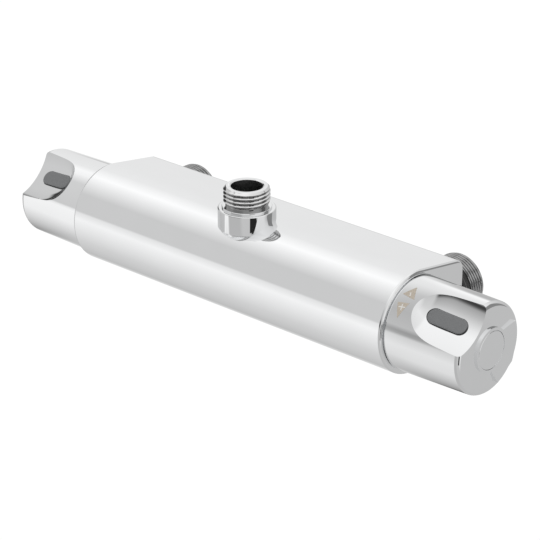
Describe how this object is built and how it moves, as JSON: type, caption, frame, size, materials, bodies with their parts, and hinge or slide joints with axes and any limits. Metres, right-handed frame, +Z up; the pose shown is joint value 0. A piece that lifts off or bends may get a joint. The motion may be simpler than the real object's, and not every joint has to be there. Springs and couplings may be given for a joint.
{
  "type": "shower mixer",
  "caption": "Exposed thermostatic bar shower mixer in chrome, with rear inlets, a top outlet and a round handle with a thumb scoop and button at each end.",
  "frame": {"origin": "midway between the two inlets, in the plane of their end faces", "axes": "+X along the bar to the temperature handle, +Y into the wall, +Z up along the outlet"},
  "size_m": [0.2674, 0.0718, 0.062],
  "materials": {
    "polished_chrome": "polished",
    "grey_rubber": "matt",
    "black_rubber": "matt",
    "cartridge_plastic": "satin",
    "plain_brass": "turned",
    "white_ceramic": "lapped",
    "spring_steel": "drawn"
  },
  "bodies": {
    "mixer_body": {"valve_body": "polished_chrome", "outlet_nipple": "polished_chrome", "outlet_washer": "black_rubber", "thermostat_housing": "cartridge_plastic", "thermostat_o_rings": "black_rubber", "thermostat_spring": "spring_steel", "thermostat_nut": "plain_brass", "temperature_stop_ring": "cartridge_plastic", "flow_housing": "cartridge_plastic", "flow_o_rings": "black_rubber", "flow_fixed_disc": "white_ceramic", "flow_seal": "black_rubber", "flow_nut": "plain_brass", "flow_stop_ring": "cartridge_plastic", "inlet_nipple_left": "polished_chrome", "inlet_nipple_right": "polished_chrome", "inlet_washer_left": "black_rubber", "inlet_washer_right": "black_rubber", "inlet_strainer_left": "cartridge_plastic", "inlet_strainer_right": "cartridge_plastic", "check_cage_left": "cartridge_plastic", "check_cage_right": "cartridge_plastic", "check_spring_left": "spring_steel", "check_spring_right": "spring_steel"},
    "temperature_control": {"temperature_handle": "polished_chrome", "temperature_cap": "polished_chrome", "temperature_screw": "spring_steel", "temperature_button_spring": "spring_steel", "thermostat_spindle": "plain_brass"},
    "temperature_push": {"temperature_button": "grey_rubber"},
    "thermostat_slider": {"thermostat_shuttle": "cartridge_plastic", "thermostat_element": "plain_brass"},
    "flow_control": {"flow_handle": "polished_chrome", "flow_cap": "polished_chrome", "flow_screw": "spring_steel", "flow_button_spring": "spring_steel", "flow_spindle": "plain_brass", "flow_moving_disc": "white_ceramic"},
    "flow_push": {"flow_button": "grey_rubber"},
    "check_left": {"check_poppet_left": "cartridge_plastic"},
    "check_right": {"check_poppet_right": "cartridge_plastic"}
  },
  "joints": [
    {"name": "temperature_turn", "type": "hinge", "parent": "mixer_body", "child": "temperature_control", "pos_m": [0.1, -0.0485, 0], "axis": [1, 0, 0], "range_deg": [-200, 45]},
    {"name": "flow_turn", "type": "hinge", "parent": "mixer_body", "child": "flow_control", "pos_m": [-0.1, -0.0485, 0], "axis": [1, 0, 0], "range_deg": [0, 90]},
    {"name": "temperature_press", "type": "slide", "parent": "temperature_control", "child": "temperature_push", "axis": [0, 0.6947, -0.7193], "range_m": [0, 0.002], "stiffness_N_per_m": 400, "springref_m": -0.003},
    {"name": "flow_press", "type": "slide", "parent": "flow_control", "child": "flow_push", "axis": [0, 0.6947, -0.7193], "range_m": [0, 0.002], "stiffness_N_per_m": 400, "springref_m": -0.003},
    {"name": "thermostat_shift", "type": "slide", "parent": "mixer_body", "child": "thermostat_slider", "axis": [1, 0, 0], "range_m": [-0.0012, 0.0012]},
    {"name": "check_left_lift", "type": "slide", "parent": "mixer_body", "child": "check_left", "axis": [0, -1, 0], "range_m": [0, 0.003], "stiffness_N_per_m": 120, "springref_m": -0.002},
    {"name": "check_right_lift", "type": "slide", "parent": "mixer_body", "child": "check_right", "axis": [0, -1, 0], "range_m": [0, 0.003], "stiffness_N_per_m": 120, "springref_m": -0.002}
  ],
  "couplings": [
    {"joint": "thermostat_shift", "follows": "temperature_turn", "m_per_rad": -0.0003}
  ]
}
